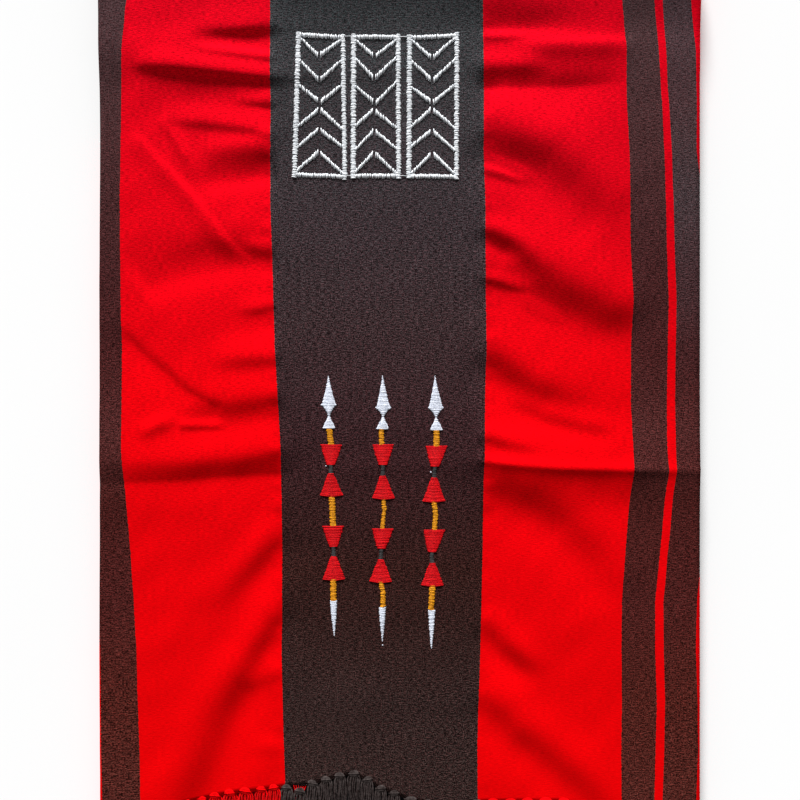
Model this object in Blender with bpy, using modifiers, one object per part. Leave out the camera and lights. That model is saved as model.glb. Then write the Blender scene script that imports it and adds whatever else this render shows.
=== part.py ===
"""A long narrow shawl, woven in bands, folded back and forth in four layers and lying flat.

The cloth is one sheet. Its section runs from the upper hem, up the top layer, round three soft
folds and out to the lower hem on the surface. Each hem carries its own knotted fringe.
X runs across the cloth, Y along it, and Z = 0 is the surface that it lies on.
"""

import math
import random
from collections import namedtuple

import bmesh
import bpy
from mathutils import Vector

MM = 0.001

# The cloth.
CLOTH_WIDTH = 0.301
CLOTH_THICKNESS = 0.0015
EDGE_WAVER = 0.0004
EDGE_WAVE_LENGTH = 0.17
COLUMNS = 28

# Heights of the middle of each layer, from the top one down, and how far each lifts by the folds.
LAYER_MIDDLE = (0.00875, 0.00575, 0.00325, 0.00075)
LIFT_AT_TOP_END = (0.0055, 0.003, 0.003, 0.0)
LIFT_AT_LOWER_END = (0.0, 0.003, 0.0, 0.0)
TOP_LIFT_FROM = 0.215
TOP_LIFT_TO = 0.2545
LOWER_LIFT_FROM = -0.212
LOWER_LIFT_TO = -0.243
FOLD_STEPS = 6

# The two ends of the cloth, and the places where it turns back.
UPPER_HEM = -0.16175
OUTER_FOLD = 0.2605
LOWER_FOLD = -0.24325
INNER_FOLD = 0.2545
LOWER_HEM = -0.199

# The section, one row for each stretch of a layer.
Stretch = namedtuple("Stretch", "layer start end steps")
SECTION = (
    Stretch(0, UPPER_HEM, -0.030, 12),
    Stretch(0, -0.030, 0.020, 14),
    Stretch(0, 0.020, 0.180, 16),
    Stretch(0, 0.180, TOP_LIFT_FROM, 10),
    Stretch(0, TOP_LIFT_FROM, OUTER_FOLD, 8),
    Stretch(1, OUTER_FOLD, TOP_LIFT_FROM, 7),
    Stretch(1, TOP_LIFT_FROM, LOWER_LIFT_FROM, 2),
    Stretch(1, LOWER_LIFT_FROM, LOWER_FOLD, 6),
    Stretch(2, LOWER_FOLD, TOP_LIFT_FROM, 2),
    Stretch(2, TOP_LIFT_FROM, INNER_FOLD, 6),
    Stretch(3, INNER_FOLD, LOWER_HEM, 2),
)

# Soft ridges (rise above 0) and troughs (below 0) in the top layer, in millimetres. Each runs
# straight from (x0, y0) to (x1, y1), and spread is how far its slope reaches to each side.
Crease = namedtuple("Crease", "x0 y0 x1 y1 rise spread")
CREASES = (
    # The storage crease across the whole width, a ridge at the right and a trough at the left.
    Crease(43, 1.5, 151, -2, 1.4, 4),
    Crease(-60, -3, 43, 1.5, 0.5, 5),
    Crease(-137, -9, -60, -4, -1.0, 5),
    Crease(-137, 12, -60, 10, 0.9, 8),
    # Short wrinkles near the top of both red bands.
    Crease(-105, 216, -64, 216, -0.7, 4),
    Crease(-110, 207, -64, 207, 1.2, 4),
    Crease(-135, 200, -64, 192, -1.0, 4),
    Crease(44, 216, 113, 217, 1.2, 4),
    Crease(43, 196, 101, 194, -0.9, 5),
    # Diagonal drag lines down the left red band.
    Crease(-124, 158, -70, 101, 1.0, 5),
    Crease(-138, 64, -95, 33, -0.8, 4),
    Crease(-110, 31, -60, 31, -0.9, 6),
    Crease(-60, -44, -100, -77, -0.8, 9),
    Crease(-64, -77, -115, -165, -1.0, 11),
    # Diagonal drag lines down the right red band.
    Crease(50, 173, 106, 133, -0.9, 9),
    Crease(45, 116, 81, 88, -0.8, 8),
    Crease(45, 58, 101, 33, -0.8, 8),
    Crease(70, -17, 111, -62, -0.9, 9),
    Crease(45, -82, 73, -107, -0.7, 8),
    Crease(43, -117, 101, -165, -1.0, 11),
    # Broad swells between them, and the lift where the hem is drawn up.
    Crease(-100, 130, -100, 60, 1.2, 22),
    Crease(-90, -30, -120, -110, 1.3, 20),
    Crease(90, 180, 90, 20, 1.0, 24),
    Crease(95, -90, 60, -140, 1.3, 18),
    Crease(-27, -120, -27, -162, 1.8, 16),
    Crease(0, 120, 0, -60, 0.6, 30),
)
DEEPEST_TROUGH = -0.9 * MM
RELIEF_ENDS = 0.235
RELIEF_STARTS_TO_END = 0.200

# How far the upper hem stands back (above 0) or forward of UPPER_HEM across the width, and the
# same for the lower hem, in millimetres.
HemPoint = namedtuple("HemPoint", "x back")
UPPER_HEM_LINE = (
    HemPoint(-151, -11),
    HemPoint(-120, -8),
    HemPoint(-92, -4.5),
    HemPoint(-64, 0.5),
    HemPoint(-27, 7),
    HemPoint(-12, 4),
    HemPoint(7, -6),
    HemPoint(22, -8),
    HemPoint(43, -5),
    HemPoint(61, -4),
    HemPoint(81, -5),
    HemPoint(111, -9),
    HemPoint(151, -11),
)
LOWER_HEM_LINE = (
    HemPoint(-151, 2),
    HemPoint(-75, -1.5),
    HemPoint(-10, 1.5),
    HemPoint(70, -2),
    HemPoint(151, 1),
)
HEM_PULL_REACH = 0.060

# The fringes. Both have the same strands, and the knots sit closer where the hem is drawn up.
StrandPlace = namedtuple("StrandPlace", "number x")
STRAND_PLACES = (
    StrandPlace(0, -145),
    StrandPlace(7, -92.25),
    StrandPlace(10, -69),
    StrandPlace(12, -56.25),
    StrandPlace(14, -43),
    StrandPlace(20, -2.5),
    StrandPlace(27, 55.5),
    StrandPlace(30, 82),
    StrandPlace(37, 145),
)
STRANDS = 38
PIECE_GAP = 0.0005
REST_GAP = 0.0005
BACKING_DEPTH = 0.0022
KNOT_HALF_WIDTH = 0.0019
ROOT_HALF_WIDTH = 0.0015
ROOT_LENGTH = 0.0025
KNOT_LENGTH = 0.0045
TWIST_START = 0.0072
STRAND_HALF_WIDTH = 0.0011
STRAND_HALF_HEIGHT = 0.0010
STRAND_TIP_HALF_WIDTH = 0.0016
STRAND_STEPS = 5
DROP_LENGTH = 0.010
SWAY = 0.0016
SWAY_WAVE_LENGTH = 0.045
UPPER_STRAND_LENGTH = 0.058
LOWEST_POINT_Y = -0.264
LENGTH_SPREAD = 0.006
FRINGE_MARGIN = 0.0018
LONGEST_STRAND_EVERY = 6
UPPER_FRINGE_SEED = 5
LOWER_FRINGE_SEED = 8
FACES_FORWARD = -0.7


def ease(t):
    """0 before 0, 1 after 1, and a soft curve between them."""
    t = min(max(t, 0.0), 1.0)
    return t * t * (3 - 2 * t)


def read_table(rows, at):
    """The second column of a short table at a place in its first column, with soft turns."""
    if at <= rows[0][0]:
        return rows[0][1]
    for low, high in zip(rows, rows[1:]):
        if at <= high[0]:
            share = ease((at - low[0]) / (high[0] - low[0]))
            return low[1] + share * (high[1] - low[1])
    return rows[-1][1]


def strand_x(number):
    """The middle of a strand, read along straight lines between the places in the table."""
    for low, high in zip(STRAND_PLACES, STRAND_PLACES[1:]):
        if number <= high.number:
            share = (number - low.number) / (high.number - low.number)
            return (low.x + share * (high.x - low.x)) * MM
    return STRAND_PLACES[-1].x * MM


def crease_rise(crease, x, y):
    """How far one ridge or trough lifts the cloth at a point, all in millimetres."""
    run_x = crease.x1 - crease.x0
    run_y = crease.y1 - crease.y0
    along = ((x - crease.x0) * run_x + (y - crease.y0) * run_y) / (run_x**2 + run_y**2)
    along = min(max(along, 0.0), 1.0)
    off_x = x - crease.x0 - along * run_x
    off_y = y - crease.y0 - along * run_y
    return crease.rise * math.exp(-(off_x**2 + off_y**2) / crease.spread**2)


def relief(x, y):
    """The height of the creases in the top layer, fading out before the fold."""
    rise = sum(crease_rise(crease, x / MM, y / MM) for crease in CREASES) * MM
    fade = 1 - ease((y - RELIEF_STARTS_TO_END) / (RELIEF_ENDS - RELIEF_STARTS_TO_END))
    return max(rise, DEEPEST_TROUGH) * fade


def layer_height(layer, y):
    """The height of the middle of a layer, without its creases."""
    top_share = ease((y - TOP_LIFT_FROM) / (TOP_LIFT_TO - TOP_LIFT_FROM))
    lower_share = ease((y - LOWER_LIFT_FROM) / (LOWER_LIFT_TO - LOWER_LIFT_FROM))
    lift = LIFT_AT_TOP_END[layer] * top_share + LIFT_AT_LOWER_END[layer] * lower_share
    return LAYER_MIDDLE[layer] + lift


def fold_points(y, upper_layer, outward):
    """Points round the half circle that joins a layer to the next one down."""
    high = layer_height(upper_layer, y)
    low = layer_height(upper_layer + 1, y)
    radius = (high - low) / 2
    points = []
    for step in range(1, FOLD_STEPS):
        angle = math.pi * step / FOLD_STEPS
        points.append((y + outward * radius * math.sin(angle), low + radius + radius * math.cos(angle)))
    return points


def section_points():
    """The cloth's section as (layer, y, z) from the upper hem to the lower one. A fold's layer is None."""
    points = [(0, UPPER_HEM, layer_height(0, UPPER_HEM))]
    last_layer = 0
    for stretch in SECTION:
        if stretch.layer != last_layer:
            outward = 1 if stretch.end < stretch.start else -1
            points += [(None, y, z) for y, z in fold_points(stretch.start, last_layer, outward)]
            points.append((stretch.layer, stretch.start, layer_height(stretch.layer, stretch.start)))
            last_layer = stretch.layer
        for step in range(1, stretch.steps + 1):
            y = stretch.start + (stretch.end - stretch.start) * step / stretch.steps
            points.append((stretch.layer, y, layer_height(stretch.layer, y)))
    return points


def upper_hem_pull(x, y):
    """How far the wavy upper hem carries a point of the top layer along Y."""
    share = 1 - ease((y - UPPER_HEM) / HEM_PULL_REACH)
    return read_table(UPPER_HEM_LINE, x / MM) * MM * share


def lower_hem_pull(x, y):
    """The same for the lower hem and the bottom layer."""
    share = 1 - ease((y - LOWER_HEM) / HEM_PULL_REACH)
    return read_table(LOWER_HEM_LINE, x / MM) * MM * share


def waver_at(y):
    """How far each side edge draws in at a place along the cloth."""
    return EDGE_WAVER * (1 + math.cos(2 * math.pi * y / EDGE_WAVE_LENGTH)) / 2


def between_columns(read, x, y):
    """A value that is exact at the cloth's columns, read along the straight line between two of them."""
    width = CLOTH_WIDTH - 2 * waver_at(y)
    place = min(max((x / width + 0.5) * COLUMNS, 0.0), COLUMNS)
    column = min(int(place), COLUMNS - 1)
    low, high = (read((number / COLUMNS - 0.5) * width) for number in (column, column + 1))
    return low + (place - column) * (high - low)


def cloth_point(x, layer, y, z):
    """Where a point of the folded section lies at a place across the cloth."""
    if layer == 0:
        moved = y + upper_hem_pull(x, y)
        return Vector((x, moved, z + relief(x, moved)))
    if layer == 3:
        return Vector((x, y + lower_hem_pull(x, y), z))
    return Vector((x, y, z))


def material(name, colour, roughness):
    """A plain cloth material."""
    made = bpy.data.materials.new(name)
    made.use_nodes = True
    shader = made.node_tree.nodes["Principled BSDF"]
    shader.inputs["Base Color"].default_value = (*colour, 1.0)
    shader.inputs["Roughness"].default_value = roughness
    shader.inputs["Metallic"].default_value = 0.0
    return made


def add_object(collection, name, mesh_source, look):
    """A new object in the collection, made from a bmesh."""
    mesh = bpy.data.meshes.new(name)
    mesh_source.to_mesh(mesh)
    mesh_source.free()
    mesh.materials.append(look)
    made = bpy.data.objects.new(name, mesh)
    collection.objects.link(made)
    return made


def make_cloth(collection):
    """One flat grid, folded along its section and creased, then given the cloth's thickness."""
    section = section_points()
    rows = len(section) - 1
    grid = bmesh.new()
    bmesh.ops.create_grid(grid, x_segments=COLUMNS, y_segments=rows, size=0.5)
    for vertex in grid.verts:
        column_share = vertex.co.x + 0.5
        layer, y, z = section[rows - round((vertex.co.y + 0.5) * rows)]
        x = (column_share - 0.5) * (CLOTH_WIDTH - 2 * waver_at(y))
        vertex.co = cloth_point(x, layer, y, z)
    look = material("woven_cloth", (0.78, 0.01, 0.02), 0.85)
    cloth = add_object(collection, "shawl_cloth", grid, look)
    thickness = cloth.modifiers.new("thickness", "SOLIDIFY")
    thickness.thickness = CLOTH_THICKNESS
    thickness.offset = 0.0
    thickness.use_even_offset = True
    return cloth


def extrude_to(source, face, place):
    """Extrudes one four-sided face and puts each of its corners where place(side, side) says.

    The two sides are -1 or 1: which side of the face's middle the corner is on, across the first
    and the second of the two directions that the face spans.
    """
    middle = face.calc_center_median()
    new = bmesh.ops.extrude_discrete_faces(source, faces=[face])["faces"][0]
    for vertex in new.verts:
        vertex.co = place(vertex.co - middle)
    return new


def side_of(value):
    """1 on the positive side of 0, and -1 on the other."""
    return 1 if value > 0 else -1


def make_backing(source, breaks, back_edge, depth, middle_z, half_height):
    """The narrow strip along a hem, one step for each break across it. Returns its front faces."""

    def corner(x, side_y, side_z):
        y = back_edge(x) - (0 if side_y > 0 else depth)
        return Vector((x, y, middle_z(x) + side_z * half_height))

    bmesh.ops.create_cube(source, size=1.0)
    for vertex in source.verts:
        x = breaks[1] if vertex.co.x > 0 else breaks[0]
        vertex.co = corner(x, side_of(vertex.co.y), side_of(vertex.co.z))
    source.normal_update()
    end = max(source.faces, key=lambda face: face.normal.x)
    for x in breaks[2:]:
        end = extrude_to(source, end, lambda off, x=x: corner(x, side_of(off.y), side_of(off.z)))
    source.normal_update()
    front = [face for face in source.faces if face.normal.y < FACES_FORWARD]
    return sorted(front, key=lambda face: face.calc_center_median().x)


def strand_half_width(along, length):
    """Wide at the knot, narrow just past it, and a little wider again at the loose tip."""
    if along <= KNOT_LENGTH:
        return KNOT_HALF_WIDTH
    if along > length - KNOT_LENGTH:
        return STRAND_TIP_HALF_WIDTH
    return STRAND_HALF_WIDTH


def strand_places(length):
    """Distances along a strand at which it has a ring."""
    twisted = length - TWIST_START
    rest = [TWIST_START + twisted * step / STRAND_STEPS for step in range(STRAND_STEPS + 1)]
    return [ROOT_LENGTH, KNOT_LENGTH, *rest]


def make_fringe(collection, name, look, back_edge, start_z, rest_z, length_of, seed):
    """A backing strip with its strands standing out of it, all one body."""
    draw = random.Random(seed)
    source = bmesh.new()
    breaks = [-CLOTH_WIDTH / 2 + FRINGE_MARGIN]
    for number in range(STRANDS):
        breaks += [strand_x(number) - ROOT_HALF_WIDTH, strand_x(number) + ROOT_HALF_WIDTH]
    breaks.append(CLOTH_WIDTH / 2 - FRINGE_MARGIN)
    front = make_backing(source, breaks, back_edge, BACKING_DEPTH, start_z, CLOTH_THICKNESS / 2)
    for number, face in enumerate(front[1::2]):
        middle_x = strand_x(number)
        root_y = back_edge(middle_x) - BACKING_DEPTH
        length = length_of(number, root_y, draw)
        phase = draw.uniform(0, 2 * math.pi)
        sway = SWAY * draw.uniform(0.4, 1.0)
        for along in strand_places(length):
            settled = ease(along / DROP_LENGTH)
            y = root_y - along
            swing = math.sin(phase + 2 * math.pi * along / SWAY_WAVE_LENGTH) - math.sin(phase)
            x = middle_x + sway * swing * settled
            z = start_z(middle_x) + (rest_z(y) - start_z(middle_x)) * settled
            half_width = strand_half_width(along, length)
            half_height = CLOTH_THICKNESS / 2
            half_height += (STRAND_HALF_HEIGHT - half_height) * settled

            def place(off, x=x, y=y, z=z, half_width=half_width, half_height=half_height):
                return Vector((x + side_of(off.x) * half_width, y, z + side_of(off.z) * half_height))

            face = extrude_to(source, face, place)
    bmesh.ops.recalc_face_normals(source, faces=source.faces)
    return add_object(collection, name, source, look)


def make_upper_fringe(collection, look):
    """The fringe of the top layer, which drops off the hem and rests on the layer below."""

    def hem_y(x):
        return UPPER_HEM + upper_hem_pull(x, UPPER_HEM)

    def hem_z(x):
        return layer_height(0, UPPER_HEM) + relief(x, hem_y(x))

    def back_edge(x):
        return between_columns(hem_y, x, UPPER_HEM) - PIECE_GAP

    def start_z(x):
        return between_columns(hem_z, x, UPPER_HEM)

    def rest_z(y):
        return layer_height(1, y) + CLOTH_THICKNESS / 2 + REST_GAP + STRAND_HALF_HEIGHT

    def length_of(number, root_y, draw):
        return UPPER_STRAND_LENGTH - draw.uniform(0, LENGTH_SPREAD)

    seed = UPPER_FRINGE_SEED
    return make_fringe(collection, "fringe_upper", look, back_edge, start_z, rest_z, length_of, seed)


def make_lower_fringe(collection, look):
    """The fringe of the bottom layer, level on the surface and reaching out past the lower fold."""

    def hem_y(x):
        return LOWER_HEM + lower_hem_pull(x, LOWER_HEM)

    def back_edge(x):
        return between_columns(hem_y, x, LOWER_HEM) - PIECE_GAP

    def start_z(x):
        return LAYER_MIDDLE[3]

    def rest_z(y):
        return STRAND_HALF_HEIGHT

    def length_of(number, root_y, draw):
        shorter = draw.uniform(0, LENGTH_SPREAD) if number % LONGEST_STRAND_EVERY else 0.0
        return root_y - LOWEST_POINT_Y - shorter

    seed = LOWER_FRINGE_SEED
    return make_fringe(collection, "fringe_lower", look, back_edge, start_z, rest_z, length_of, seed)


def main():
    for old in list(bpy.data.objects):
        bpy.data.objects.remove(old, do_unlink=True)
    collection = bpy.data.collections.new("folded_shawl")
    bpy.context.scene.collection.children.link(collection)
    make_cloth(collection)
    make_upper_fringe(collection, material("upper_fringe_yarn", (0.05, 0.03, 0.03), 0.9))
    make_lower_fringe(collection, material("lower_fringe_yarn", (0.06, 0.03, 0.03), 0.9))


main()
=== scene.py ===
"""The looks of a long narrow shawl, woven in bands and folded back and forth in four layers.

The cloth is one thin sheet on the solid's folds, with its creases placed one by one. Its sewn
panel and its three sewn spears are runs of raised threads, and both fringes are knotted and
twisted yarn. X runs across the cloth and Y along it, and everything is in metres.
"""

import math
import random
from collections import namedtuple

import bpy
import numpy as np
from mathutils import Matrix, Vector


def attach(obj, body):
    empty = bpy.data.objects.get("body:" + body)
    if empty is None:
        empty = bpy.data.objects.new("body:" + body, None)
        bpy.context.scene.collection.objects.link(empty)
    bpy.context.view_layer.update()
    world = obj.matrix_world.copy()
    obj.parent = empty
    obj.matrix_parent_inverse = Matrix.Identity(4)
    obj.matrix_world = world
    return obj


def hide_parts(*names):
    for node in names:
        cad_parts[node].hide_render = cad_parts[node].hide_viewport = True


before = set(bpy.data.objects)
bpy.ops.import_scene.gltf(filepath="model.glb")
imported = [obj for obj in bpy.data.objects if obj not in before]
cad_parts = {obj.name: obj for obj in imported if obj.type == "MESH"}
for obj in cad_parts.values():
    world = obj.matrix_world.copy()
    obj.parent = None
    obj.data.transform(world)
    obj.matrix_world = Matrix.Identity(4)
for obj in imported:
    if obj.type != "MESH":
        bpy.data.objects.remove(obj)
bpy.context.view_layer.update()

MM = 0.001

# The cloth: its edges, the heights of its layers, and the places where it turns back.
CLOTH_WIDTH = 0.301
CLOTH_THICKNESS = 0.0010
EDGE_WAVER = 0.0004
EDGE_WAVE_LENGTH = 0.17
LEFT_EDGE_IN = 0.0006
LAYER_MIDDLE = (0.00875, 0.00575, 0.00325, 0.0005)
LIFT_AT_TOP_END = (0.0055, 0.003, 0.003, 0.0)
LIFT_AT_LOWER_END = (0.0, 0.003, 0.0, 0.0)
TOP_LIFT_FROM = 0.215
TOP_LIFT_TO = 0.2545
LOWER_LIFT_FROM = -0.212
LOWER_LIFT_TO = -0.243
UPPER_HEM = -0.16175
OUTER_FOLD = 0.2605
LOWER_FOLD = -0.24325
INNER_FOLD = 0.2545
LOWER_HEM = -0.199
FOLD_STEPS = 10

# The sheet's rows, one row here for each stretch of a layer: finer where small creases lie.
Stretch = namedtuple("Stretch", "layer start end steps")
SECTION = [Stretch(*row) for row in (
    (0, UPPER_HEM, -0.022, 52),
    (0, -0.022, 0.012, 30),
    (0, 0.012, 0.180, 138),
    (0, 0.180, 0.225, 36),
    (0, 0.225, OUTER_FOLD, 14),
    (1, OUTER_FOLD, TOP_LIFT_FROM, 7),
    (1, TOP_LIFT_FROM, -0.140, 3),
    (1, -0.140, LOWER_LIFT_FROM, 6),
    (1, LOWER_LIFT_FROM, LOWER_FOLD, 8),
    (2, LOWER_FOLD, TOP_LIFT_FROM, 3),
    (2, TOP_LIFT_FROM, INNER_FOLD, 6),
    (3, INNER_FOLD, LOWER_HEM, 6),
)]

# The sheet's columns: (place across in millimetres, columns up to the next place).
COLUMN_STOPS = ((-150.5, 6), (-139, 58), (-57, 20), (38, 40), (118, 12), (150.5, 0))

# Where the edges of the woven bands run, in millimetres, at places along the top layer.
BandRow = namedtuple("BandRow", "y sliver left_black left_red centre right_red right_black stripe outer")
BANDS = [BandRow(*row) for row in (
    (-167, -148.7, -129.1, -57, 39.3, 111.2, 127.8, 131.8, 148.9),
    (-142, -149.2, -129.7, -57.8, 39.2, 111.2, 128.4, 132.5, 149.8),
    (-117, -149.4, -130.4, -58.2, 39.9, 111.5, 129, 132.9, 149.5),
    (-92, -149.6, -131.1, -58.8, 40.7, 111.3, 128.2, 132.3, 148.6),
    (-67, -150.6, -132.6, -58.5, 41.3, 111.5, 128.2, 132.1, 149.3),
    (-42, -151.5, -134.2, -58.5, 41.8, 113.1, 130.8, 134.5, 151.5),
    (-17, -151.8, -136.3, -58.7, 42.1, 115.2, 133, 136.7, 151.5),
    (-2, -152, -137.6, -59.1, 42.5, 117, 134.8, 138.4, 152),
    (8, -152, -138.4, -59.1, 42.9, 116.9, 134, 138.3, 152),
    (33, -152, -138.5, -60.5, 43, 115.9, 134, 138, 152),
    (58, -152, -138.7, -62, 43.9, 116.3, 134.4, 138.3, 152),
    (83, -152, -139.2, -62.9, 43.5, 116.9, 135.1, 138.8, 152),
    (108, -152, -139.5, -63.5, 43.4, 115.9, 134.1, 137.8, 152),
    (133, -152, -139.7, -64.5, 43.3, 115.6, 133.7, 137.3, 152),
    (158, -152, -139.3, -64.4, 42.5, 115.2, 132.9, 136.4, 148.9),
    (183, -152, -138.8, -64.3, 42.6, 113.9, 131.6, 134.8, 149.1),
    (208, -152, -138.1, -64.5, 42.3, 113.5, 129.9, 133.2, 148.4),
    (233, -152, -135.5, -64.2, 41.9, 111, 127.1, 131.2, 145.4),
)]
# The same edges on the flat loom, in the same order, and a place well past the last of them.
LOOM_EDGES = (-150, -138, -61, 42, 115, 132, 136.3, 149.5)
PAST_EDGES = 0.1
# How far the bands of the lower layers stand to the right of the top layer's, by place along Y.
LAYER_SHIFT = ((-0.25, 9), (-0.15, 9), (0.2605, 0))

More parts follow.
